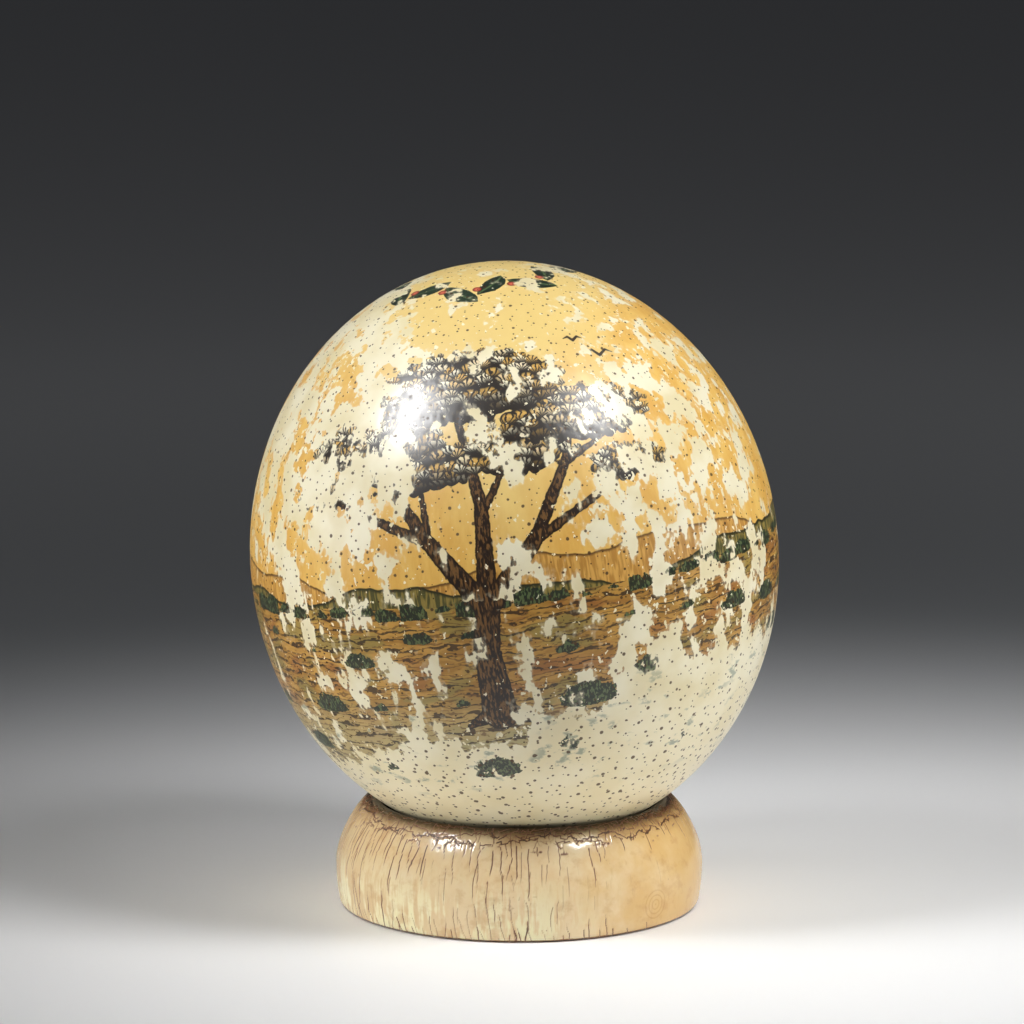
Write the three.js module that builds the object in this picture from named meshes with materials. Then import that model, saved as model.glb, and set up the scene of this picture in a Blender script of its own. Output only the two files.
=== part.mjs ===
// A painted ostrich egg that leans a little in a low turned ring.
// Millimetres, +Z up, with the front of the painting towards -Y.
// The origin is on the surface that the ring stands on, under the middle of the egg.

import * as THREE from "three";

// Egg: nearly an ellipsoid, a little slimmer at its upper end
const EGG_WIDTH = 127;
const EGG_LENGTH = 141;
const EGG_TAPER = 0.011; // share by which the upper end is slimmer than an ellipsoid
const EGG_LEAN = THREE.MathUtils.degToRad(7.5); // its long axis leans towards -X
const EGG_SEGMENTS = 60;
const EGG_STEPS = 34;

// Ring: a barrel-shaped wall that is fullest below its middle
const RING_WIDTH = 89;
const RING_FULLEST_HEIGHT = 9.7;
const RING_FOOT_WIDTH = 86.9;
const RING_HEIGHT = 25.8;
const RING_BORE = 65;
const FOOT_EDGE = 0.8; // rounding of the foot's two edges
const LIP_RADIUS = 3; // rounding of the lip that carries the egg
const WALL_PULL = 0.42; // how long the wall stays upright above its fullest height
const CREST_PULL = 0.3; // how far the crest stays level outside the lip
const RING_SEGMENTS = 64;

// Fit
const SEAT_GAP = 0.3; // between the egg and the lip
const SEAT_ROUNDS = 40;
const SEAT_STEPS = 720;

// Half of the egg's outline from its lower end to its upper end:
// x is the distance from its long axis and y the height along it.
function eggOutline(steps) {
  const outline = [];
  for (let i = 0; i <= steps; i += 1) {
    const turn = (Math.PI * i) / steps;
    const along = -Math.cos(turn);
    const girth = i % steps === 0 ? 0 : Math.sin(turn) * (1 - EGG_TAPER * along);
    outline.push(new THREE.Vector2((girth * EGG_WIDTH) / 2, (along * EGG_LENGTH) / 2));
  }
  return outline;
}

// The ring's closed section, x outwards from its axis and y up,
// from the inner edge of the foot round by the wall, the crest and the lip.
function ringSection() {
  const bore = RING_BORE / 2;
  const foot = RING_FOOT_WIDTH / 2;
  const fullest = RING_WIDTH / 2;
  const crest = bore + LIP_RADIUS;
  const rise = RING_HEIGHT - RING_FULLEST_HEIGHT;

  const base = new THREE.Path();
  base.moveTo(bore + FOOT_EDGE, 0);
  base.lineTo(foot - FOOT_EDGE, 0);
  base.quadraticCurveTo(foot, 0, foot + FOOT_EDGE / 4, FOOT_EDGE);

  const wall = new THREE.Path();
  wall.moveTo(foot + FOOT_EDGE / 4, FOOT_EDGE);
  wall.quadraticCurveTo(fullest, RING_FULLEST_HEIGHT / 2, fullest, RING_FULLEST_HEIGHT);

  const shoulder = new THREE.Path();
  shoulder.moveTo(fullest, RING_FULLEST_HEIGHT);
  shoulder.bezierCurveTo(
    fullest,
    RING_FULLEST_HEIGHT + WALL_PULL * rise,
    crest + CREST_PULL * (fullest - crest),
    RING_HEIGHT,
    crest,
    RING_HEIGHT,
  );

  const lip = new THREE.Path();
  lip.absarc(crest, RING_HEIGHT - LIP_RADIUS, LIP_RADIUS, Math.PI / 2, Math.PI, false);
  lip.lineTo(bore, FOOT_EDGE);

  const section = [
    ...base.getPoints(3),
    ...wall.getPoints(4).slice(1),
    ...shoulder.getPoints(9).slice(1),
    ...lip.getPoints(3).slice(1),
  ];
  section.push(section[0].clone());
  return section;
}

// Where the leaning egg's middle comes to rest, x and y being across and above the ring's foot.
// The egg starts above the ring and is lowered and moved sideways in the plane that it leans in,
// until it is the same small gap away from the lip's round on both sides.
function seatOfEgg() {
  const outline = eggOutline(SEAT_STEPS);
  const lipMiddle = RING_BORE / 2 + LIP_RADIUS;
  const lipHeight = RING_HEIGHT - LIP_RADIUS;
  const middle = new THREE.Vector2(0, RING_HEIGHT + EGG_LENGTH / 2);
  const gapAt = (side) => {
    const point = new THREE.Vector2(side * lipMiddle, lipHeight);
    point.rotateAround(middle, -EGG_LEAN).sub(middle);
    point.x = Math.abs(point.x);
    const nearest = Math.min(...outline.map((spot) => spot.distanceTo(point)));
    return nearest - LIP_RADIUS - SEAT_GAP;
  };
  for (let i = 0; i < SEAT_ROUNDS; i += 1) {
    const left = gapAt(-1);
    const right = gapAt(1);
    middle.x -= (left - right) / 2;
    middle.y -= (left + right) / 2;
  }
  return middle;
}

// A solid of revolution about +Z
function turned(points, segments) {
  return new THREE.LatheGeometry(points, segments).rotateX(Math.PI / 2);
}

const seat = seatOfEgg();

const egg = new THREE.Mesh(
  turned(eggOutline(EGG_STEPS), EGG_SEGMENTS),
  new THREE.MeshStandardMaterial({ color: 0xdcb265, roughness: 0.35, metalness: 0 }),
);
egg.name = "egg";
egg.position.z = seat.y;
egg.rotation.y = -EGG_LEAN;

const ringStand = new THREE.Mesh(
  turned(ringSection(), RING_SEGMENTS),
  new THREE.MeshStandardMaterial({ color: 0xd9c9a0, roughness: 0.3, metalness: 0 }),
);
ringStand.name = "ring_stand";
ringStand.position.x = -seat.x;

const paintedEgg = new THREE.Group();
paintedEgg.add(egg, ringStand);

export default paintedEgg;
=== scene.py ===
# %% [markdown]
# # A painted ostrich egg in a turned ring
# This lesson dresses two solids, an egg that leans a little and the low ring that it rests in. The
# solids give the size and place of everything. Here the egg gets a real pored shell with an old,
# flaking painting, and the ring gets the dark age cracks of a polished, ivory-like material.

# %% Load the frame
import math
from functools import reduce

import bpy
import numpy as np
from mathutils import Matrix, Vector, kdtree


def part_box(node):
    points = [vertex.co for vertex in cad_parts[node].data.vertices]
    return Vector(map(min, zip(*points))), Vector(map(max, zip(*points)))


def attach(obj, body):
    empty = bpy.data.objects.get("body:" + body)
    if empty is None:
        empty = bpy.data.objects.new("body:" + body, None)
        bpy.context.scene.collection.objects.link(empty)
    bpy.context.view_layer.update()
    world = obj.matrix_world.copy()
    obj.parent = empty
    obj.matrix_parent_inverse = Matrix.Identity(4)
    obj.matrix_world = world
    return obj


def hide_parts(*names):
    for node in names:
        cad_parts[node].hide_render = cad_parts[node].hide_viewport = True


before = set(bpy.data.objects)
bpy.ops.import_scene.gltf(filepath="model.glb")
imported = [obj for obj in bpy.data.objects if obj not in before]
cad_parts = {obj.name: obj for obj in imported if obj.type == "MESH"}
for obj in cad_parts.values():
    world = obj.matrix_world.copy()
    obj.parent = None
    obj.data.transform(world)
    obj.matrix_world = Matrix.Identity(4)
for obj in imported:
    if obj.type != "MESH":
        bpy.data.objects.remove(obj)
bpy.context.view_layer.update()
MM = 0.001
print("solids:", sorted(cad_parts))

# %% [markdown]
# ## The camera
# A long lens from a little above keeps the egg's outline true, as in a catalogue picture. The camera
# comes first, so that each later piece can be judged in the right view. Its aim and rise were found
# by fitting the outlines of the egg and the ring.

# %% Camera
CAMERA_REACH = 1.4
CAMERA_RISE = math.radians(10.2)
CAMERA_AIM = Vector((-0.4, 0.0, 95.4)) * MM
CAMERA_LENS = 204.7
SENSOR_WIDTH = 36

camera_data = bpy.data.cameras.new("camera")
camera_data.lens = CAMERA_LENS
camera_data.sensor_width = SENSOR_WIDTH
camera = bpy.data.objects.new("camera", camera_data)
backwards = Vector((0, -math.cos(CAMERA_RISE), math.sin(CAMERA_RISE)))
camera.location = CAMERA_AIM + CAMERA_REACH * backwards
camera.rotation_euler = (math.pi / 2 - CAMERA_RISE, 0, 0)
bpy.context.scene.collection.objects.link(camera)
bpy.context.scene.camera = camera
print("camera at", tuple(round(c, 3) for c in camera.location))

# %% [markdown]
# ## Shader maths as plain expressions
# Most of the look is a drawing made of distances, stripes and noise. Written as nodes by hand that
# would be hundreds of boxes, so one small class wraps a socket and turns Python arithmetic into Math
# nodes. `node` adds any other kind of node. A few helpers for colours, noise and materials follow.

# %% The Wire class
class Wire:
    """A node's output that can be used in arithmetic. With no socket it only adds nodes to its tree."""

    def __init__(self, tree, socket=None):
        self.tree = tree
        self.socket = socket

    def node(self, kind, settings=None, sockets=None, output=0):
        """Add a node: its settings first, then the values or links of its sockets."""
        made = self.tree.nodes.new("ShaderNode" + kind)
        for name, value in (settings or {}).items():
            setattr(made, name, value)
        for key, value in (sockets or {}).items():
            if isinstance(value, Wire):
                self.tree.links.new(value.socket, made.inputs[key])
            else:
                made.inputs[key].default_value = value
        return Wire(self.tree, made.outputs[output] if made.outputs else None)

    def out(self, output):
        """Another output of the same node."""
        return Wire(self.tree, self.socket.node.outputs[output])

    def math(self, operation, *others, clamp=False):
        settings = {"operation": operation, "use_clamp": clamp}
        return self.node("Math", settings, dict(enumerate((self, *others))))

    def __add__(self, other):
        return self.math("ADD", other)

    def __sub__(self, other):
        return self.math("SUBTRACT", other)

    def __rsub__(self, other):
        return self.math("MULTIPLY_ADD", -1.0, other)

    def __mul__(self, other):
        return self.math("MULTIPLY", other)

    def __truediv__(self, other):
        return self.math("DIVIDE", other)

    def __neg__(self):
        return self.math("MULTIPLY", -1.0)

    def __abs__(self):
        return self.math("ABSOLUTE")

    __radd__ = __add__
    __rmul__ = __mul__

    def least(self, other):
        return self.math("MINIMUM", other)

    def most(self, other):
        return self.math("MAXIMUM", other)

    def rise(self, low, high):
        """0 below low, 1 above high and a smooth step between them; low may be the larger one."""
        sockets = {"Value": self, "From Min": low, "From Max": high}
        return self.node("MapRange", {"interpolation_type": "SMOOTHSTEP"}, sockets)

    def parts(self):
        """The three parts of a vector."""
        split = self.node("SeparateXYZ", None, {0: self})
        return split, split.out(1), split.out(2)


def least_of(wires):
    """The least of several values, such as the distance to the nearest of several strokes."""
    return reduce(Wire.least, wires)


def most_of(wires):
    """The greatest of several values."""
    return reduce(Wire.most, wires)


def length(first, second):
    """The length of a flat vector from its two parts."""
    return (first * first + second * second).math("SQRT")


print("Wire class ready")

# %% Colours, noise and materials
def tone(code):
    """A linear colour from the usual six-digit screen code."""
    shares = [int(code[i : i + 2], 16) / 255 for i in (0, 2, 4)]
    return tuple(s / 12.92 if s < 0.04045 else ((s + 0.055) / 1.055) ** 2.4 for s in shares) + (1.0,)


def blend(mask, under, over):
    """The colour `under` where the mask is 0 and `over` where it is 1."""
    return mask.node("Mix", {"data_type": "RGBA"}, {0: mask, 6: under, 7: over}, 2)


def between(mask, under, over):
    """The same for plain values."""
    return mask.node("Mix", {"data_type": "FLOAT"}, {0: mask, 2: under, 3: over})


def noise(place, grain, detail=3.0, rough=0.5):
    """Soft noise over `place`; `grain` is the size of its lumps, one number or one for each direction."""
    grain = grain if isinstance(grain, tuple) else (grain,) * 3
    scaled = place.node("Mapping", None, {"Vector": place, "Scale": tuple(1 / g for g in grain)})
    sockets = {"Vector": scaled, "Scale": 1.0, "Detail": detail, "Roughness": rough}
    return place.node("TexNoise", None, sockets)


def new_material(name):
    """An empty node material and a Wire that adds nodes to it."""
    material = bpy.data.materials.new(name)
    material.use_nodes = True
    material.node_tree.nodes.clear()
    return material, Wire(material.node_tree)


def surface(wire, **sockets):
    """The Principled surface of a material. Underscores in a name stand for spaces."""
    named = {key.replace("_", " "): value for key, value in sockets.items()}
    shader = wire.node("BsdfPrincipled", None, named)
    wire.node("OutputMaterial", None, {"Surface": shader})


print("middle grey is", round(tone("808080")[0], 3), "as a linear value")

# %% [markdown]
# ## The shell
# An ostrich egg is nearly an ellipsoid. A sphere of evenly spaced points would need a triangulation,
# so a cube with six finely divided sides is blown up to a sphere instead: its points are almost
# evenly spaced all over. Stretched to the solid's own box and a touch slimmer at the top, it is the
# upright egg, in millimetres. The painting is drawn in these upright places, and the egg leans last.

# %% The upright egg
EGG_LEAN = math.radians(7.5)
EGG_TAPER = 0.011
SIDE_CELLS = 127

egg_low, egg_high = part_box("egg")
egg_middle = (egg_low + egg_high) / 2
EGG_RADIUS = (egg_high.y - egg_low.y) / 2 / MM
leaned_half = (egg_high.z - egg_low.z) / 2 / MM
EGG_HALF = math.sqrt(leaned_half**2 - (EGG_RADIUS * math.sin(EGG_LEAN)) ** 2) / math.cos(EGG_LEAN)


def cube_sphere(cells):
    """Unit points and outward quads of a cube whose sides are divided and blown up to a sphere."""
    steps = np.tan(np.linspace(-np.pi / 4, np.pi / 4, cells + 1))
    first, second = np.meshgrid(steps, steps, indexing="ij")
    sheets = []
    for axis in range(3):
        for sign in (-1.0, 1.0):
            sheet = np.empty(first.shape + (3,))
            sheet[..., axis] = sign
            sheet[..., (axis + 1) % 3] = first * sign
            sheet[..., (axis + 2) % 3] = second
            sheets.append(sheet.reshape(-1, 3))
    points = np.concatenate(sheets)
    points /= np.linalg.norm(points, axis=1)[:, None]
    corner = np.arange(len(points)).reshape(6, cells + 1, cells + 1)
    corners = (corner[:, :-1, :-1], corner[:, 1:, :-1], corner[:, 1:, 1:], corner[:, :-1, 1:])
    quads = np.stack(corners, axis=-1).reshape(-1, 4)
    points, same = np.unique(np.round(points, 7), axis=0, return_inverse=True)
    return points, same.ravel()[quads]


directions, shell_faces = cube_sphere(SIDE_CELLS)
girth = EGG_RADIUS * (1 - EGG_TAPER * directions[:, 2])
shell_spots = directions * np.stack([girth, girth, np.full(len(girth), EGG_HALF)], axis=1)
print("egg", round(2 * EGG_RADIUS, 1), "by", round(2 * EGG_HALF, 1), "mm,", len(shell_faces), "quads")

# %% [markdown]
# ## Pores
# The glossy cream surface is full of small pores that show as dark pinholes. A noise in the material
# would give ragged specks, so the pores are strewn over the mesh instead, in three layers. The mesh
# point at a pore is pushed in, so the pits are real, and the points round it keep their offset from
# the pore's centre, counted in pore radii. Such an offset stays exact between the points, so a round
# dot of any size can be drawn on a coarser mesh. The pores of one layer keep apart, because the mesh
# would mix the offsets of two close ones into a false mark.

# %% Strew the pores
PORES_IN_LAYER = 3100
PORE_BLOCK = 1.25
PORE_GUARD = 2.05
PORE_SHIFT = 0.22
PORE_FAR = 9.0
PIT_DEPTH = 0.13
LARGE_PORE = (0.22, 0.44)
SMALL_PORE = (0.12, 0.28)
PORE_LAYERS = {
    "large_pores": (LARGE_PORE, 11),
    "small_pores": (SMALL_PORE, 12),
    "fine_pores": (SMALL_PORE, 13),
}


def strew_pores(points, normals, size, seed):
    """Each point's offset from its own pore's centre, in pore radii, and how deep it is pushed in."""
    draw = np.random.default_rng(seed)
    tree = kdtree.KDTree(len(points))
    for index, point in enumerate(points):
        tree.insert(point, index)
    tree.balance()
    offsets = normals * PORE_FAR
    depth = np.zeros(len(points))
    free = np.ones(len(points), bool)
    made = 0
    for index in draw.permutation(len(points)):
        if made == PORES_IN_LAYER:
            break
        guard = [near for _, near, _ in tree.find_range(points[index], PORE_GUARD)]
        if not free[guard].all():
            continue
        block = [near for _, near, _ in tree.find_range(points[index], PORE_BLOCK)]
        free[block] = False
        radius = draw.uniform(*size)
        away = points[block] - points[index] - draw.uniform(-PORE_SHIFT, PORE_SHIFT, 3)
        away -= (away * normals[block]).sum(axis=1)[:, None] * normals[block]
        offsets[block] = away / radius
        depth[index] = radius / LARGE_PORE[1]
        made += 1
    return offsets, depth


pore_offsets = {}
pits = np.zeros(len(shell_spots))
for layer, (pore_size, pore_seed) in PORE_LAYERS.items():
    pore_offsets[layer], layer_pits = strew_pores(shell_spots, directions, pore_size, pore_seed)
    pits = np.maximum(pits, layer_pits)
    print(int((layer_pits > 0).sum()), "pores in the layer", layer)
shell_spots -= directions * (PIT_DEPTH * pits)[:, None]

# %% [markdown]
# ## Places on the egg
# A painter works with three sets of measures: how far round and how high a spot is, for the horizon
# and the ground; how far it is from the top, for a wreath; and a flat picture that is laid on the
# front without stretching, for the main motif. All three are worked out from the spot's own place.

# %% Measures for the painter
PICTURE_SCALE = 66.0

shell_material, wire = new_material("painted_shell")
spot = wire.node("Attribute", {"attribute_name": "spot"}, output="Vector")


def pore_reach(name):
    """How far a spot is from its pore's centre, in pore radii."""
    offset = wire.node("Attribute", {"attribute_name": name}, output="Vector")
    return wire.node("VectorMath", {"operation": "LENGTH"}, {0: offset}, "Value")


pore = least_of(pore_reach(layer) for layer in PORE_LAYERS)
across, behind, height = spot.parts()
turn = across.math("ARCTAN2", -behind) / (2 * math.pi)
unit_across = across / EGG_RADIUS
unit_front = behind / -EGG_RADIUS
unit_up = height / EGG_HALF
flat = length(unit_across, unit_up).most(0.001)
stretch = flat.math("ARCTAN2", unit_front) / flat * PICTURE_SCALE
picture_across = unit_across * stretch
picture_up = unit_up * stretch
from_top = length(unit_across, unit_front).math("ARCTAN2", unit_up) * PICTURE_SCALE
print("measures ready,", len(wire.tree.nodes), "nodes")

# %% [markdown]
# ## Sky and land
# The sky is a golden glaze brushed on in upright strokes. It is paler towards the top and the middle
# of the front, which is painted light. The land is ochre and rust, drawn with broken dark level
# lines. Low hills stand along the horizon all round the egg: each ridge is a sum of whole waves round
# the girth, so it meets itself at the back.

# %% Sky
brushed = noise(spot, (5.0, 5.0, 22.0), detail=5.0, rough=0.6)
clouded = noise(spot, 26.0, detail=2.0)
sky = blend(brushed.rise(0.32, 0.68), tone("d6a34b"), tone("e4bb65"))
# Paler towards the top and the middle of the front: painted light.
high = (height - abs(picture_across) * 0.9 + (clouded - 0.5) * 50.0).rise(-4.0, 44.0)
sky = blend(high * 0.85, sky, tone("e2c880"))
print("sky ready,", len(wire.tree.nodes), "nodes")

# %% Hills
HORIZON = 1.0
FAR_LIFT = 6.0
NEAR_LIFT = 1.8
FAR_WAVES = ((3, 3.2, 0.4), (7, 1.5, 2.0), (13, 0.7, 1.0))
NEAR_WAVES = ((4, 1.8, 3.0), (9, 1.2, 0.2), (21, 0.5, 2.2))
RIDGE_ROUGHNESS = 1.6
PAINT_EDGE = 0.15


def ridge(base, waves):
    """The height of a line of hills: each wave is its count round the egg, its rise and its start."""
    line = noise(spot, (4.0, 4.0, 40.0), detail=2.0) * RIDGE_ROUGHNESS + base
    for count, size, start in waves:
        line = line + (turn * (2 * math.pi * count) + start).math("SINE") * size
    return line


far_hills = ridge(HORIZON + FAR_LIFT, FAR_WAVES)
near_hills = ridge(HORIZON + NEAR_LIFT, NEAR_WAVES)
hatched = noise(spot, (0.7, 0.7, 5.0), detail=1.0)
far_mask = (far_hills - height).rise(-PAINT_EDGE, PAINT_EDGE)
near_mask = (near_hills - height).rise(-PAINT_EDGE, PAINT_EDGE)
far_edge = (far_hills - height).rise(0.9, 0.25)
near_edge = (near_hills - height).rise(1.1, 0.3)
far_tone = blend(hatched.rise(0.4, 0.62), tone("b07f36"), tone("cf9f4f"))
far_tone = blend(far_edge, far_tone, tone("6a4a20"))
near_tone = blend(hatched.rise(0.42, 0.6), tone("4c4a25"), tone("8d7a3c"))
near_tone = blend(near_edge, near_tone, tone("2b2a14"))
print("hills ready,", len(wire.tree.nodes), "nodes")

# %% Ground
STRATA_GAP = 2.4
DASH_GAP = 1.2
LEVEL_WAVE = 4.6

wavy = noise(spot, (6.0, 6.0, 2.4), detail=3.0)
level = height + wavy * LEVEL_WAVE
broad = noise(spot, (9.0, 9.0, 2.6), detail=3.0, rough=0.6)
washed = noise(spot, (14.0, 14.0, 5.0), detail=2.0)
earth = blend(broad.rise(0.4, 0.6), tone("a0752f"), tone("bb8e41"))
earth = blend(washed.rise(0.55, 0.66) * 0.55, earth, tone("8d5026"))
earth = blend(washed.rise(0.46, 0.38) * 0.6, earth, tone("7f7a40"))
earth = blend(height.rise(-18.0, -34.0) * 0.7, earth, tone("b3a878"))
gaps = noise(spot, (2.6, 2.6, 1.2), detail=2.0)
strata = (level * (2 * math.pi / STRATA_GAP)).math("SINE").rise(0.5, 0.8) * gaps.rise(0.43, 0.5)
dashes = (level * (2 * math.pi / DASH_GAP)).math("SINE").rise(0.3, 0.85) * gaps.rise(0.53, 0.48)
earth = blend(dashes * 0.7, earth, tone("5d3c1a"))
earth = blend(strata * 0.9, earth, tone("2f1f0f"))

painting = blend(far_mask, sky, far_tone)
painting = blend(near_mask, painting, near_tone)
land = (height * -1.0 + (wavy - 0.5) * 1.6).rise(-HORIZON - PAINT_EDGE, -HORIZON + PAINT_EDGE)
painting = blend(land, painting, earth)
print("ground ready,", len(wire.tree.nodes), "nodes")

# %% [markdown]
# ## Low bushes
# Small marks repeat: the girth is divided into cells, and each cell draws one low bush at a place of
# its own. A bush is a ragged dome with a flat foot, dotted with lighter leaves. A row of small ones
# stands along the horizon, and fewer and larger ones nearer by. The tree comes later, in front.

# %% Bushes
BUSH_ROWS = [
    (58, -0.6, 2.6, 1.6, 1.3),
    (24, -10.0, 2.7, 8.0, 5.9),
    (17, -24.0, 3.6, 9.0, 8.2),
    (13, -40.0, 3.4, 12.0, 3.7),
]
BUSH_RAGGEDNESS = 3.2


def cells(count, seed):
    """Divide the girth: each cell's own place across, in cells, its number and its three chances."""
    place = turn * count
    number = place.math("FLOOR")
    chance = [
        wire.node("TexWhiteNoise", {"noise_dimensions": "1D"}, {"W": number * 0.731 + seed + i})
        for i in range(3)
    ]
    return place - number - 0.5, number, chance


def bushes(count, level_height, size, spread, seed):
    """Bushes along one level line: how far inside a bush a spot is, above 0 inside."""
    place, _, chance = cells(count, seed)
    side = (place + (chance[0] - 0.5) * 0.4) * (2 * math.pi * EGG_RADIUS / count)
    up = height - level_height + (chance[1] - 0.5) * spread
    bulk = chance[2] * size + 0.3 * size
    return bulk - length(side * 0.6, up.most(up * -3.0)) + (chips - 0.5) * BUSH_RAGGEDNESS


chips = noise(spot, (1.5, 1.5, 1.8), detail=2.0, rough=0.6)
bush = most_of(bushes(*row) for row in BUSH_ROWS)
bush_mask = bush.rise(0.0, 0.25)
leafy = noise(spot, (0.55, 0.55, 1.1), detail=1.0).rise(0.52, 0.6)
bush_tone = blend(leafy * 0.75, tone("15241a"), tone("5f7046"))
painting = blend(bush_mask * 0.96, painting, bush_tone)
print("bushes ready,", len(wire.tree.nodes), "nodes")

# %% [markdown]
# ## A spreading tree
# The main motif is a flat-topped tree of the dry plains. A limb is a chain of tapered strokes: the
# distance to a stroke is a few Math nodes, and the least of the distances is the whole tree. The
# crown is a set of flat pads, painted from the back to the front, each lighter along its top. Leaf
# clumps come from Voronoi cells, with a fan of fine lines drawn in every cell.

# %% The tree's wood
LIMBS = [
    [(-7, -25, 4.4), (-8, -10, 3.3), (-6, 3, 3.0)],
    [(-7, -24, 3.0), (-15, -28, 0.8)],
    [(-7, -24, 3.0), (2, -28, 0.8)],
    [(-7, 0, 2.7), (-19, 15, 1.9), (-31, 33, 1.0)],
    [(-19, 15, 1.4), (-37, 23, 1.0), (-47, 28, 0.5)],
    [(-19, 15, 1.1), (-20, 30, 0.6)],
    [(-6, 2, 2.6), (-5, 22, 1.7), (-9, 44, 0.9)],
    [(-5, 20, 1.1), (4, 33, 0.6)],
    [(-6, 0, 2.6), (7, 13, 1.8), (17, 29, 1.2), (21, 40, 0.7)],
    [(7, 13, 1.3), (24, 21, 0.9), (35, 27, 0.5)],
    [(17, 29, 0.9), (29, 35, 0.5)],
]


def stroke(start, end):
    """How far the picture's spot is outside a tapered stroke; each end is across, up and half width."""
    run = Vector((end[0] - start[0], end[1] - start[1]))
    step = run / run.length_squared
    side = picture_across - start[0]
    up = picture_up - start[1]
    share = (side * step.x).math("ADD", up * step.y, clamp=True)
    off = length(share.math("MULTIPLY_ADD", -run.x, side), share.math("MULTIPLY_ADD", -run.y, up))
    return off + share.math("MULTIPLY_ADD", start[2] - end[2], -start[2])


def limb(points):
    """The same for a chain of strokes."""
    return least_of(stroke(start, end) for start, end in zip(points, points[1:]))


ragged = noise(spot, 1.6, detail=2.0)
wood = least_of(limb(points) for points in LIMBS)
wood = wood + (ragged - 0.5) * 0.9
wood_mask = wood.rise(0.12, -0.12)
bark = noise(spot, (0.55, 0.55, 2.6), detail=2.0).rise(0.46, 0.6)
bark = bark * wood.rise(-0.2, -0.9)
wood_tone = blend(bark * 0.8, tone("23160c"), tone("7d5a30"))
painting = blend(wood_mask, painting, wood_tone)
print("wood ready,", len(wire.tree.nodes), "nodes")

# %% Leaf clumps
CLUMP_WIDTH = 3.3
CLUMP_HEIGHT = 2.4
FAN_LINES = 15.0

clump_column = picture_across / CLUMP_WIDTH + ragged * 0.3
clump_row = picture_up / CLUMP_HEIGHT
clump_cell = wire.node("CombineXYZ", None, {0: clump_column, 1: clump_row})
clump = wire.node(
    "TexVoronoi",
    {"voronoi_dimensions": "2D"},
    {"Vector": clump_cell, "Scale": 1.0, "Randomness": 0.85},
)
clump_middle = clump.out("Position").parts()
clump_across = clump_column - clump_middle[0]
clump_up = clump_row - clump_middle[1]
clump_chance = wire.node("SeparateColor", None, {0: clump.out("Color")})
clump_chance_2 = clump_chance.out(1)
tilt = clump_chance_2 * 0.9 - 0.45
fan = (clump_across - tilt * 0.5).math("ARCTAN2", clump_up + 0.35 + clump_chance * 0.6)
leaf_lines = (fan * FAN_LINES + clump_chance * 6.0 + (ragged - 0.5) * 7.0).math("SINE")
leaf_light = clump_up.rise(-0.5, 0.3) * clump.rise(0.72, 0.42)
print("leaf clumps ready,", len(wire.tree.nodes), "nodes")

# %% The tree's crown
PADS = [
    (-47, 29, 10, 3.8),
    (35, 28, 11, 4.0),
    (4, 33, 15, 5.0),
    (-20, 32, 16, 5.6),
    (22, 41, 21, 7.0),
    (-33, 40, 19, 7.0),
    (-6, 51, 26, 9.5),
]

crown = None
crown_shade = None
lump = clump * 2.6 + (ragged - 0.5) * 1.6
for pad_across, pad_up, half_width, half_height in PADS:
    shade = (picture_up - pad_up) / half_height
    pad = (length((picture_across - pad_across) / half_width, shade) - 1.0) * half_height + lump
    pad_mask = pad.rise(1.45, 1.15)
    crown = pad_mask if crown is None else crown.most(pad_mask)
    crown_shade = shade if crown_shade is None else between(pad_mask, crown_shade, shade)

leaf_tone = blend(clump_chance_2.rise(0.25, 0.85), tone("d0a650"), tone("efe7c8"))
leaf_share = leaf_lines.rise(-0.6, 0.1) * leaf_light * crown_shade.rise(-0.85, 0.1)
crown_tone = blend(leaf_share, tone("1e150b"), leaf_tone)
painting = blend(crown, painting, crown_tone)
print("crown ready,", len(wire.tree.nodes), "nodes")

# %% [markdown]
# ## Birds and a wreath
# A bird far off is two bent strokes. The wreath round the top repeats one leaf: the girth is divided
# into cells again, and each cell draws a leaf, turned outwards or inwards by turns, in measures that
# are taken from the top of the egg. Red berries sit between the leaves.

# %% Birds
BIRDS = [(33, 56, 4.2), (42, 51, 3.4), (26, 61, 2.8)]


def wing(bird_across, bird_up, span, side):
    """One wing of a bird, from its body over the elbow to the tip."""
    body = (bird_across, bird_up, 0.45)
    elbow = (bird_across + side * 0.5 * span, bird_up + 0.42 * span, 0.35)
    tip = (bird_across + side * span, bird_up + 0.22 * span, 0.12)
    return limb([body, elbow, tip])


flock = least_of(wing(*bird, side) for bird in BIRDS for side in (-1, 1))
painting = blend(flock.rise(0.12, -0.08), painting, tone("2a1d10"))
print("birds ready,", len(wire.tree.nodes), "nodes")

# %% Wreath round the top
WREATH_REACH = 20.0
WREATH_LEAVES = 14
WREATH_STEP = 2 * math.pi * WREATH_REACH / WREATH_LEAVES
LEAF_LENGTH = 6.6
LEAF_HALF_WIDTH = 2.7
LEAF_TURN = math.radians(40)
LEAF_SWAY = 1.6

leaf_place, leaf_number, leaf_chance = cells(WREATH_LEAVES, 2.4)
hand = (leaf_number * 0.5).math("FRACT") * 4.0 - 1.0
leaf_side = leaf_place * WREATH_STEP
leaf_out = from_top - WREATH_REACH - hand * LEAF_SWAY
leaf_long = leaf_side * math.cos(LEAF_TURN) + leaf_out * hand * math.sin(LEAF_TURN)
leaf_wide = leaf_out * math.cos(LEAF_TURN) - leaf_side * hand * math.sin(LEAF_TURN)
bow = (leaf_long / LEAF_LENGTH) * (leaf_long / LEAF_LENGTH)
leaf_edge = abs(leaf_wide) - (1.0 - bow) * LEAF_HALF_WIDTH + (ragged - 0.5) * 0.5
leaf_mask = leaf_edge.rise(0.1, -0.1)
leaf_green = blend(abs(leaf_wide).rise(0.35, 0.15), tone("16261a"), tone("5b6f45"))
leaf_green = blend(leaf_chance[1] * 0.5, leaf_green, tone("2c4430"))
painting = blend(leaf_mask, painting, leaf_green)

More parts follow.
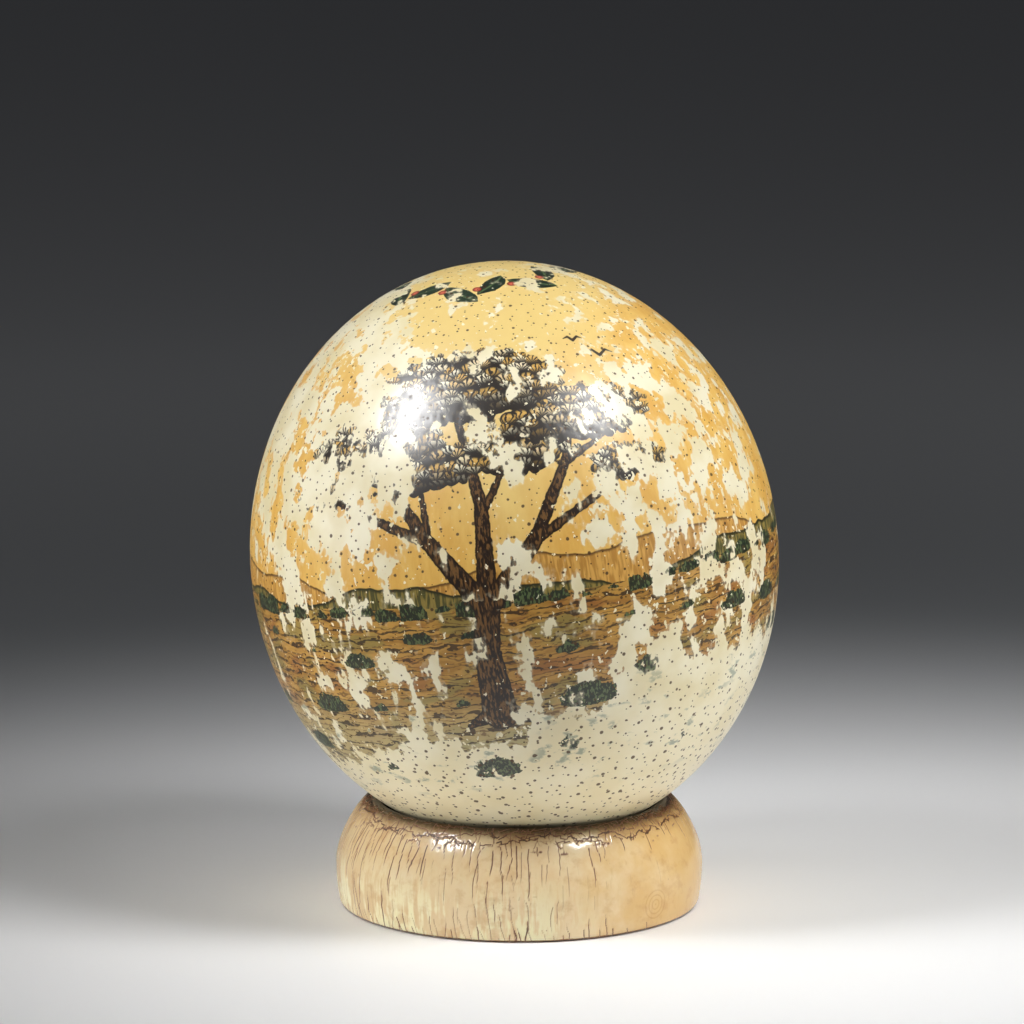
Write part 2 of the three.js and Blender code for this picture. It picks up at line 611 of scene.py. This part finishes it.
berry = length((abs(leaf_place) - 0.5) * WREATH_STEP, from_top - WREATH_REACH)
berry_tone = blend(berry.rise(0.9, 0.3), tone("8e2f22"), tone("cf6a50"))
painting = blend(berry.rise(1.25, 1.05), painting, berry_tone)
print("wreath ready,", len(wire.tree.nodes), "nodes")

# %% [markdown]
# ## Wear, pores and gloss
# The paint has flaked off in crisp islands, in upright streaks on the flanks, and almost wholly from
# the lower third. A noise that is compared with a local limit gives such islands: the limit says how
# much is lost where. Paint that is nearly worn off is thin and lets the shell show. The pores are
# dark in shell and paint alike. The paint's edge is a small step in the bump, and the whole egg has a
# polished, slightly uneven gloss.

# %% Flaking
PATCH_LOSS = 0.22
FLANK_LOSS = 0.106
BLEACHED_LOSS = 0.09
LOW_LOSS = 0.42
BARE_PATCH_LOSS = 0.1
RIGHT_KEPT = 0.0007
TOP_KEPT = 0.01
ALL_KEPT = 0.11
BUSHES_KEPT = 0.1
LOW_BUSHES_KEPT = 0.24

flakes = noise(spot, (6.0, 6.0, 10.0), detail=3.0, rough=0.56)
patches = noise(spot, (30.0, 30.0, 34.0), detail=1.0)
flank = abs(picture_across).rise(14.0, 34.0) * abs(picture_across).rise(98.0, 66.0)
bleached = (height.rise(-10.0, 34.0) - 0.65) * across.rise(-8.0, -34.0)
loss = patches * PATCH_LOSS + flank * FLANK_LOSS + bleached * BLEACHED_LOSS
loss = loss - across.most(0.0) * RIGHT_KEPT - ALL_KEPT
low = height.rise(-24.0, -46.0)
low_edge = height - across * 0.18 + (patches - 0.5) * 26.0
loss = loss + low_edge.rise(-26.0, -46.0) * LOW_LOSS
bare_patch = across.rise(-10.0, 6.0) * across.rise(44.0, 28.0) * height.rise(-6.0, -22.0)
loss = loss + bare_patch * BARE_PATCH_LOSS - height.rise(38.0, 60.0) * TOP_KEPT
loss = loss - bush_mask * (low * LOW_BUSHES_KEPT + BUSHES_KEPT)
fading = flakes + (chips - 0.5) * 0.14 + loss - 0.05
worn = fading.rise(0.535, 0.55)
worn = worn.most((chips + loss * 0.5).rise(0.665, 0.68))
print("flaking ready,", len(wire.tree.nodes), "nodes")

# %% Bare shell and pinholes
aged = noise(spot, 12.0, detail=3.0)
shell = blend(aged.rise(0.35, 0.68), tone("e9e1c3"), tone("ddd0a6"))
# Towards the bottom the shell turns a warmer cream: a painted warm reflection of the ring.
shell = blend(low * 0.45, shell, tone("f4e6bd"))
stain = noise(spot, (5.0, 5.0, 3.0), detail=4.0, rough=0.6)
stain = stain.rise(0.55, 0.65) * height.rise(-16.0, -28.0) * height.rise(-52.0, -42.0)
stain = stain * washed.rise(0.44, 0.56)
shell = blend(stain * 0.75, shell, tone("7f8c78"))
thinned = fading.rise(0.49, 0.54) * 0.24
painting = blend(thinned, painting, tone("e6dcbc"))
egg_tone = blend(worn, painting, shell)
pinhole = (pore + (chips - 0.5) * 1.1 - low * 0.35).rise(1.05, 0.7)
egg_tone = blend(pinhole * 0.9, egg_tone, tone("472c0c"))
print("shell and pinholes ready,", len(wire.tree.nodes), "nodes")

# %% Relief and gloss
PAINT_STEP = 0.045
CHIP_RELIEF = 0.02
PAINT_ROUGHNESS = 0.37
SHELL_ROUGHNESS = 0.33

relief = worn * -PAINT_STEP + chips * CHIP_RELIEF
egg_bump = wire.node("Bump", None, {"Strength": 0.6, "Distance": MM, "Height": relief})
egg_gloss = between(worn, PAINT_ROUGHNESS, SHELL_ROUGHNESS) + (aged - 0.5) * 0.1 + pinhole * 0.3
surface(
    wire,
    Base_Color=egg_tone,
    Roughness=egg_gloss,
    Normal=egg_bump,
    Coat_Weight=0.24,
    Coat_Roughness=0.29,
)
print("shell material has", len(wire.tree.nodes), "nodes")

# %% [markdown]
# ## The egg in its place
# The upright places stay on the mesh as an attribute, because the painting is drawn in them, and so
# do the pore offsets. The points themselves lean to the left and move to the middle of the solid's
# box. The mesh then stands for the plain solid.

# %% Add the egg
def add_piece(name, points, faces, attributes, material, body, node):
    """A smooth mesh object in the frame, with its point attributes, that stands for a solid."""
    mesh = bpy.data.meshes.new(name)
    mesh.from_pydata(points.tolist(), [], faces.tolist())
    mesh.polygons.foreach_set("use_smooth", np.ones(len(faces), bool))
    for key, values in attributes.items():
        kind, field = ("FLOAT", "value") if values.ndim == 1 else ("FLOAT_VECTOR", "vector")
        layer = mesh.attributes.new(key, kind, "POINT")
        layer.data.foreach_set(field, values.astype(np.float32).ravel())
    mesh.materials.append(material)
    mesh.update()
    piece = bpy.data.objects.new(name, mesh)
    bpy.context.scene.collection.objects.link(piece)
    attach(piece, body)
    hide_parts(node)
    print(name, "has", len(points), "points and", len(faces), "faces")


lean = np.array(Matrix.Rotation(-EGG_LEAN, 3, "Y"))
shell_points = shell_spots @ lean.T * MM + np.array(egg_middle)
add_piece(
    "painted_egg",
    shell_points,
    shell_faces,
    {"spot": shell_spots, **pore_offsets},
    shell_material,
    body="root",
    node="egg",
)

# %% [markdown]
# ## The ring
# The ring is turned like a wide bangle: a barrel-shaped wall, a rounded lip and a flat foot. One
# section of curves, spun round the axis, gives the whole ring. Its rows are closest at the shoulder,
# where the finest cracks are.

# %% Ring section
RING_FULLEST_HEIGHT = 9.7
RING_FOOT_RADIUS = 43.45
RING_BORE_RADIUS = 32.5
LIP_RADIUS = 3.0
FOOT_EDGE = 0.8
WALL_PULL = 0.42
CREST_PULL = 0.3
SHOULDER_SHARE = 0.58
FOOT_ROWS = 3
WALL_ROWS = 16
SHOULDER_ROWS = 33
LIP_ROWS = 6
INSIDE_ROWS = 2
COLUMNS = 1240

ring_low, ring_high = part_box("ring_stand")
ring_middle = (ring_low + ring_high) / 2
RING_RADIUS = (ring_high.y - ring_low.y) / 2 / MM
RING_HEIGHT = (ring_high.z - ring_low.z) / MM


def curve(steps, *controls, start=0.0, end=1.0):
    """Points of a part of a line or curve with two to four control points, without its last point."""
    share = start + (end - start) * np.arange(steps)[:, None] / steps
    points = [np.array(c, float) for c in controls]
    while len(points) > 1:
        points = [(1 - share) * a + share * b for a, b in zip(points, points[1:])]
    return points[0]


wall_rise = RING_HEIGHT - RING_FULLEST_HEIGHT
crest = RING_BORE_RADIUS + LIP_RADIUS
foot_inner = RING_BORE_RADIUS + FOOT_EDGE
foot_outer = RING_FOOT_RADIUS - FOOT_EDGE
foot_top = (RING_FOOT_RADIUS + FOOT_EDGE / 4, FOOT_EDGE)
fullest = (RING_RADIUS, RING_FULLEST_HEIGHT)
upper_wall = (
    fullest,
    (RING_RADIUS, RING_FULLEST_HEIGHT + WALL_PULL * wall_rise),
    (crest + CREST_PULL * (RING_RADIUS - crest), RING_HEIGHT),
    (crest, RING_HEIGHT),
)
quarter = np.linspace(0, np.pi / 2, LIP_ROWS + 1)[:-1]
lip_out = crest - LIP_RADIUS * np.sin(quarter)
lip_up = RING_HEIGHT - LIP_RADIUS * (1 - np.cos(quarter))
outside = np.concatenate([
    curve(FOOT_ROWS, (foot_outer, 0), (RING_FOOT_RADIUS, 0), foot_top),
    curve(WALL_ROWS, foot_top, (RING_RADIUS, RING_FULLEST_HEIGHT / 2), fullest),
    curve(WALL_ROWS, *upper_wall, end=SHOULDER_SHARE),
    curve(SHOULDER_ROWS, *upper_wall, start=SHOULDER_SHARE),
    np.stack([lip_out, lip_up], axis=1),
])
bore_top = (RING_BORE_RADIUS, RING_HEIGHT - LIP_RADIUS)
bore_foot = (RING_BORE_RADIUS, FOOT_EDGE)
inside = np.concatenate([
    curve(INSIDE_ROWS, bore_top, bore_foot),
    curve(INSIDE_ROWS, bore_foot, (RING_BORE_RADIUS, 0), (foot_inner, 0)),
    curve(INSIDE_ROWS, (foot_inner, 0), (foot_outer, 0)),
])
section = np.concatenate([outside, inside])
climb = np.concatenate([[0], np.cumsum(np.linalg.norm(np.diff(outside, axis=0), axis=1))])
print("ring", round(2 * RING_RADIUS, 1), "by", round(RING_HEIGHT, 1), "mm, wall climbs", round(climb[-1], 1))

# %% [markdown]
# ## Age cracks
# With age such a material splits along its grain. Broken lines in level runs and short steps go round
# the shoulder, with rungs between them, longer cracks run down the wall, and others rise from the
# foot. Bump alone would leave the mesh plain, so the cracks are drawn as wandering lines, in
# millimetres round the girth and up the wall, and cut into the wall's grid as real grooves.

# %% Lines that wander
GIRTH = 2 * math.pi * RING_RADIUS
CRACK_STEP = 0.12
CRACK_PIECE = (0.4, 1.7)
LEVEL_RUN = (0.6, 2.6)
SHORT_STEP = (0.2, 0.9)
DOWN, UP = -math.pi / 2, math.pi / 2
draw_cracks = np.random.default_rng(23)
uniform, normal = draw_cracks.uniform, draw_cracks.normal


def straight(start, angle, span, strength):
    """A straight piece of a crack: rows of a place round the girth, a climb and a strength."""
    along = np.arange(CRACK_STEP, max(span, 2 * CRACK_STEP), CRACK_STEP)
    return [(start[0] + math.cos(angle) * a, start[1] + math.sin(angle) * a, strength) for a in along]


def crack_line(start, heading, span, kink, strength):
    """A crack of short pieces that keeps to its heading and thins towards its end."""
    rows = [(*start, strength)]
    walked = 0.0
    while walked < span:
        piece = uniform(*CRACK_PIECE)
        angle = heading + draw_cracks.laplace(0, kink)
        rows += straight(rows[-1], angle, piece, strength * min(1, 2.2 - 1.7 * walked / span))
        walked += piece
    return rows


def brick_line(level, strength, kept):
    """A line round the ring in level runs and short upright steps, with runs left out here and there."""
    rows = []
    place = (-GIRTH / 2, level)
    while place[0] < GIRTH / 2:
        slope = normal(0, 0.3)
        run_length = uniform(*LEVEL_RUN)
        run = straight(place, slope, run_length, strength * uniform(0.75, 1.1))
        turned = UP if run[-1][1] < level + normal(0, 0.6) else DOWN
        turned = turned + normal(0, 0.5)
        step_length = uniform(*SHORT_STEP)
        step = straight(run[-1], turned, step_length, strength * uniform(0.7, 1.0))
        if uniform(0, 1) < kept:
            rows += run + step
        place = step[-1]
    return rows


def places(gap):
    """Places round the girth with uneven gaps."""
    steps = np.cumsum(uniform(*gap, int(GIRTH / gap[0])))
    return steps[steps < GIRTH] - GIRTH / 2


def cracked_share(place):
    """How cracked the wall is round the girth: most at the left of the front, least at its right."""
    turned = 2 * math.pi * place / GIRTH
    return min(0.9, max(0.1, 0.55 - 0.9 * math.sin(turned - 0.25)))


print("girth of the ring", round(GIRTH, 1), "mm")

# %% The shoulder's network
SHOULDER = 25.3
SHOULDER_LINES = [
    (0.0, 1.1, 0.96),
    (-2.2, 0.8, 0.4),
    (-1.0, 0.85, 0.55),
    (1.3, 0.95, 0.7),
    (2.6, 0.95, 0.7),
]
RUNG_GAP = (0.7, 2.3)
RUNG_KINK = 0.3

crack_rows = []
for lift, strength, kept in SHOULDER_LINES:
    crack_rows += brick_line(SHOULDER + lift, strength, kept)
for place in places(RUNG_GAP):
    start = (place, SHOULDER + uniform(-2.6, 1.8))
    heading = UP + normal(0, 0.3)
    span = uniform(1.0, 3.6)
    crack_rows += crack_line(start, heading, span, RUNG_KINK, uniform(0.6, 1.05))
print("shoulder:", len(crack_rows), "points")

# %% Cracks down the wall
WALL_GAP = (1.1, 3.2)
WALL_KINK = 0.16
SHORT_CRACK = (3, 9)
LONG_CRACK = (9, 19)
HAIRLINE_GAP = (1.0, 4.0)
HAIRLINE_KINK = 0.08

for place in places(WALL_GAP):
    share = cracked_share(place)
    if uniform(0, 1) > 0.15 + share:
        continue
    span_range = SHORT_CRACK if uniform(0, 1) < 0.5 else LONG_CRACK
    span = uniform(*span_range) * (0.3 + 0.7 * share)
    start = (place, SHOULDER + uniform(-2.4, 0.3))
    heading = DOWN + normal(0, 0.05)
    crack_rows += crack_line(start, heading, span, WALL_KINK, uniform(0.65, 1.1))
for place in places(HAIRLINE_GAP):
    strength = uniform(0.45, 0.8) * (0.6 + 0.4 * cracked_share(place))
    start = (place, uniform(8, 20))
    crack_rows += crack_line(start, DOWN, uniform(2, 10), HAIRLINE_KINK, strength)
print("with the wall:", len(crack_rows), "points")

# %% Cracks up from the foot, scratches and dots
FOOT_GAP = (0.8, 2.4)
FOOT_KINK = 0.12
FOOT_CLIMB = 0.4
SCRATCHES = 10
SCRATCH_KINK = 0.05
SCRATCH_STRENGTH = 0.45
DOT_GAP = (3.0, 14.0)
DOT_SPAN = 0.1

for place in places(FOOT_GAP):
    share = cracked_share(place)
    if uniform(0, 1) > 0.25 + share:
        continue
    span = 1.2 + draw_cracks.exponential(6.0) * share
    heading = UP + normal(0.16, 0.14)
    crack_rows += crack_line((place, FOOT_CLIMB), heading, span, FOOT_KINK, uniform(0.6, 1.05))
for _ in range(SCRATCHES):
    start = (normal(-4, 3), uniform(8, 13))
    heading = -0.5 + normal(0, 0.2)
    crack_rows += crack_line(start, heading, uniform(1.5, 4), SCRATCH_KINK, SCRATCH_STRENGTH)
for place in places(DOT_GAP):
    start = (place, uniform(3, 20))
    crack_rows += straight(start, UP, DOT_SPAN, uniform(0.5, 1.0))
print("cracks:", len(crack_rows), "points,", round(len(crack_rows) * CRACK_STEP), "mm in all")

# %% Cut the cracks
CRACK_REACH = 0.23
CRACK_DEPTH = 0.1
NEAR_STEPS = (-1, 0, 1, 2)


def cut_cracks(lines):
    """The strength of the cracks at each point of the wall's grid."""
    grid = np.zeros((len(outside), COLUMNS))
    pitch = GIRTH / COLUMNS
    lines = lines[(lines[:, 1] > 0) & (lines[:, 1] < climb[-1])]
    column = (lines[:, 0] + GIRTH / 2) / pitch
    row = np.interp(lines[:, 1], climb, np.arange(len(climb)))
    for row_step in NEAR_STEPS:
        near_row = np.clip(np.floor(row).astype(int) + row_step, 0, len(climb) - 1)
        for column_step in NEAR_STEPS:
            near_column = np.floor(column).astype(int) + column_step
            off = np.hypot((near_column - column) * pitch, climb[near_row] - lines[:, 1])
            value = lines[:, 2] * np.clip(1.25 - off / CRACK_REACH, 0, 1)
            np.maximum.at(grid, (near_row, near_column % COLUMNS), value)
    return grid


crack_grid = np.zeros((len(section), COLUMNS))
crack_grid[: len(outside)] = cut_cracks(np.array(crack_rows))
print("cracked share of the ring's points", round(float((crack_grid > 0).mean()), 3))

# %% Ring mesh
angles = 2 * np.pi * np.arange(COLUMNS) / COLUMNS - np.pi
spin = np.stack([np.sin(angles), -np.cos(angles)], axis=1)
edge = np.roll(section, -1, axis=0) - np.roll(section, 1, axis=0)
outward = np.stack([edge[:, 1], -edge[:, 0]], axis=1) / np.linalg.norm(edge, axis=1)[:, None]
cut = section[:, None, :] - outward[:, None, :] * (CRACK_DEPTH * crack_grid)[:, :, None]
ring_spots = np.concatenate([cut[..., :1] * spin[None], cut[..., 1:]], axis=-1).reshape(-1, 3)
row, column = np.meshgrid(np.arange(len(section)), np.arange(COLUMNS), indexing="ij")
next_row = (row + 1) % len(section)
next_column = (column + 1) % COLUMNS
corners = ((row, column), (row, next_column), (next_row, next_column), (next_row, column))
ring_faces = np.stack([r * COLUMNS + c for r, c in corners], axis=-1).reshape(-1, 4)
ring_points = ring_spots * MM + np.array([ring_middle.x, ring_middle.y, ring_low.z])
wall_climb = np.concatenate([climb, np.full(len(inside), climb[-1] + 1)])
ring_climb = np.repeat(wall_climb, COLUMNS)
print("ring grid", len(section), "by", COLUMNS)

# %% [markdown]
# ## The ring's finish
# The real ring is polished, and its colour is uneven: peach-cream on the left, honey on the right,
# with pale greenish streaks near the foot. A brown band on the lip under the egg is partly stain and
# partly painted shade from the egg, with a darker painted contact shadow on the lip next to the egg.
# The left side is also darkened a little: painted shade. The base colour mixes these by place. A
# faint eye of growth lines sits low on the right. Brown dirt has settled in the cracks and in fine
# crazing on the shoulder: the cracks' strength, stored on the mesh, darkens the grooves, and the
# crazing is the edges of Voronoi cells.

# %% Ring colours
LIP_BAND_START = 24.5

ring_material, wire = new_material("cream_ring")
ring_spot = wire.node("Attribute", {"attribute_name": "spot"}, output="Vector")
crack = wire.node("Attribute", {"attribute_name": "crack"}, output="Fac")
wall = wire.node("Attribute", {"attribute_name": "climb"}, output="Fac")
ring_across, ring_behind, ring_up = ring_spot.parts()

mottled = noise(ring_spot, 11.0, detail=4.0, rough=0.55)
grained = noise(ring_spot, (1.6, 1.6, 16.0), detail=4.0, rough=0.6)
ring_tone = blend(mottled.rise(0.35, 0.65), tone("e3cea6"), tone("dcbd90"))
# Darker on the left: painted shade.
painted_left_shade = (ring_across / RING_RADIUS).rise(-0.1, -0.8)
ring_tone = blend(painted_left_shade * 0.6, ring_tone, tone("cbb084"))
honey = (ring_across / RING_RADIUS + (mottled - 0.5) * 1.1).rise(0.15, 0.85)
ring_tone = blend(honey * 0.8, ring_tone, tone("d4ad6c"))
greenish = (mottled + (grained - 0.5) * 0.9).rise(0.42, 0.6) * ring_up.rise(21.0, 3.0)
greenish = greenish * (ring_across / RING_RADIUS).rise(0.6, 0.0)
ring_tone = blend(greenish * 0.85, ring_tone, tone("ebe6bd"))
ring_tone = blend(grained.rise(0.55, 0.75) * 0.3, ring_tone, tone("bf925e"))
blotched = noise(ring_spot, (5.0, 5.0, 4.0), detail=4.0, rough=0.62)
ring_tone = blend(blotched.rise(0.5, 0.68) * 0.34, ring_tone, tone("bd8f5c"))
# A brown band on the lip under the egg: partly stain, partly painted shade from the egg.
stain_and_shade = (wall + (mottled - 0.5) * 9.0).rise(LIP_BAND_START - 2.0, LIP_BAND_START + 4.0)
ring_tone = blend(stain_and_shade * 0.6, ring_tone, tone("836039"))
# A darker painted contact shadow on the lip next to the egg.
painted_contact_shadow = (wall + (grained - 0.5) * 2.2).rise(LIP_BAND_START + 1.0, LIP_BAND_START + 4.2)
ring_tone = blend(painted_contact_shadow * 0.92, ring_tone, tone("352310"))
foot_line = (ring_up + (grained - 0.5) * 0.5).rise(0.6, 0.2)
ring_tone = blend(foot_line * 0.85, ring_tone, tone("7a4520"))
print("ring colours ready,", len(wire.tree.nodes), "nodes")

# %% Eye mark
EYE_PLACE = 36.5
EYE_CLIMB = 6.6
EYE_GAP = 1.15
EYE_RADIUS = 4.1

girth_place = ring_across.math("ARCTAN2", -ring_behind) * RING_RADIUS
eye = length(girth_place - EYE_PLACE, wall - EYE_CLIMB)
eye_lines = (eye * (2 * math.pi / EYE_GAP) + blotched * 3.0).math("SINE").rise(0.0, 1.0)
eye_lines = eye_lines * eye.rise(EYE_RADIUS, EYE_RADIUS - 0.5)
ring_tone = blend(eye_lines * 0.22, ring_tone, tone("a9763f"))
print("eye mark ready,", len(wire.tree.nodes), "nodes")

# %% Crazing, dirt and polish
CRAZE_WIDTH = 5.2
CRAZE_HEIGHT = 2.3
CRAZE_BEND = 0.6
CRAZE_DEPTH = 0.05

jagged = noise(ring_spot, 2.2)
craze_column = girth_place / CRAZE_WIDTH + jagged * CRAZE_BEND
craze_row = wall / CRAZE_HEIGHT + jagged * CRAZE_BEND
craze_cell = wire.node("CombineXYZ", None, {0: craze_column, 1: craze_row})
craze = wire.node(
    "TexVoronoi",
    {"voronoi_dimensions": "2D", "feature": "DISTANCE_TO_EDGE"},
    {"Vector": craze_cell, "Scale": 1.0},
)
craze = craze.rise(0.05, 0.015) * mottled.rise(0.4, 0.55)
craze = craze * wall.rise(SHOULDER - 2.0, SHOULDER + 1.0) * 0.7
dirt = crack.rise(0.28, 0.7).most(craze)
dirt_tone = blend(crack.rise(0.45, 1.0), tone("80492a"), tone("2f1d10"))
ring_tone = blend(dirt * 0.92, ring_tone, dirt_tone)

ring_relief = craze * -CRAZE_DEPTH + mottled * 0.05
ring_bump = wire.node("Bump", None, {"Strength": 0.5, "Distance": MM, "Height": ring_relief})
ring_gloss = 0.15 + (mottled - 0.5) * 0.14 + dirt * 0.35
surface(
    wire,
    Base_Color=ring_tone,
    Roughness=ring_gloss,
    Normal=ring_bump,
    Subsurface_Weight=0.08,
    Subsurface_Radius=(0.6, 0.35, 0.18),
    Subsurface_Scale=0.004,
)
print("ring material has", len(wire.tree.nodes), "nodes")

# %% Add the ring
add_piece(
    "cream_ring",
    ring_points,
    ring_faces,
    {"spot": ring_spots, "crack": crack_grid.ravel(), "climb": ring_climb},
    ring_material,
    body="root",
    node="ring_stand",
)

# %% [markdown]
# ## Floor
# The egg stands on a pale floor in a pool of light that fades to charcoal. The floor is one flat
# sheet whose colour darkens with the distance from the egg, so the pool needs no lamp of its own.

# %% Floor
FLOOR_HALF = 6.0
FLOOR_GAP = 0.0002
POOL_CENTRE = (0.04, -0.04)
POOL_TONE = "f2f2f2"
FLOOR_TONES = [(0.03, 0.43, "6a6c6e"), (0.42, 0.95, "a0a2a4"), (0.95, 2.6, "94979a")]

floor_material, wire = new_material("pale_floor")
floor_spot = wire.node("TexCoord", None, None, "Object")
floor_reach = wire.node("VectorMath", {"operation": "LENGTH"}, {0: floor_spot}, "Value")
floor_tone = tone(POOL_TONE)
for near_reach, far_reach, code in FLOOR_TONES:
    floor_tone = blend(floor_reach.rise(near_reach, far_reach), floor_tone, tone(code))
surface(wire, Base_Color=floor_tone, Roughness=0.5, Specular_IOR_Level=0.1)
floor_mesh = bpy.data.meshes.new("floor")
floor_signs = ((-1, -1), (1, -1), (1, 1), (-1, 1))
floor_corners = [(x * FLOOR_HALF, y * FLOOR_HALF, 0) for x, y in floor_signs]
floor_mesh.from_pydata(floor_corners, [], [(0, 1, 2, 3)])
floor_mesh.materials.append(floor_material)
floor = bpy.data.objects.new("floor", floor_mesh)
floor.location = (*POOL_CENTRE, ring_low.z - FLOOR_GAP)
bpy.context.scene.collection.objects.link(floor)
print("floor", 2 * FLOOR_HALF, "m wide")

# %% [markdown]
# ## Light
# Two soft boxes, high on the left and on the right, shade the egg and throw a shadow on either side.
# The left one has a narrow beam, as from a grid, so it lights the egg and little of the floor. Their
# mirror images would be too large and too bright, so they light matt surfaces only, and two smaller
# sheen boxes beside them give the two highlights and nothing else. Low, narrow-beamed strips brighten
# the flanks without washing out the shadows.

# %% Lights
MATT, GLOSS = "matt", "gloss"
HIGH_REACH = 0.62
LOW_REACH = 1.0
OPEN_BEAM = 180
LAMPS = [
    ("soft_box_left", (-0.63, -0.27, 0.72), HIGH_REACH, (0.28, 0.28), 0.147, 36, MATT),
    ("soft_box_right", (0.54, -0.33, 0.76), HIGH_REACH, (0.22, 0.22), 3.2, OPEN_BEAM, MATT),
    ("sheen_left", (-0.62, -0.3, 0.74), HIGH_REACH, (0.17, 0.17), 5.2, OPEN_BEAM, GLOSS),
    ("sheen_right", (0.52, -0.33, 0.77), HIGH_REACH, (0.17, 0.17), 3.1, OPEN_BEAM, GLOSS),
    ("low_box_left", (-1.0, -0.15, 0.12), LOW_REACH, (0.5, 0.22), 0.6, 50, MATT),
    ("low_box_right", (1.0, -0.15, 0.12), LOW_REACH, (0.5, 0.22), 0.32, 50, MATT),
]


def soft_box(name, direction, reach, size, power, beam, lights):
    """A lamp that faces the egg's middle from a direction; the camera never sees the lamp itself."""
    lamp = bpy.data.lights.new(name, "AREA")
    lamp.shape = "RECTANGLE"
    lamp.size, lamp.size_y = size
    lamp.energy = power
    lamp.spread = math.radians(beam)
    box = bpy.data.objects.new(name, lamp)
    towards = Vector(direction).normalized()
    box.location = egg_middle + towards * reach
    box.rotation_euler = towards.to_track_quat("Z", "Y").to_euler()
    box.visible_camera = False
    box.visible_diffuse = lights == MATT
    box.visible_glossy = lights == GLOSS
    bpy.context.scene.collection.objects.link(box)


for lamp_values in LAMPS:
    soft_box(*lamp_values)
print(len(LAMPS), "lamps")

# %% Studio
STUDIO_GREY = (0.2, 0.2, 0.21, 1)
STUDIO_STRENGTH = 0.3

world = bpy.data.worlds.new("studio")
world.use_nodes = True
backdrop = world.node_tree.nodes["Background"]
backdrop.inputs["Color"].default_value = STUDIO_GREY
backdrop.inputs["Strength"].default_value = STUDIO_STRENGTH
bpy.context.scene.world = world
bpy.context.scene.view_settings.view_transform = "Standard"
print("studio light", STUDIO_STRENGTH)

# %% Done
print("scene built")
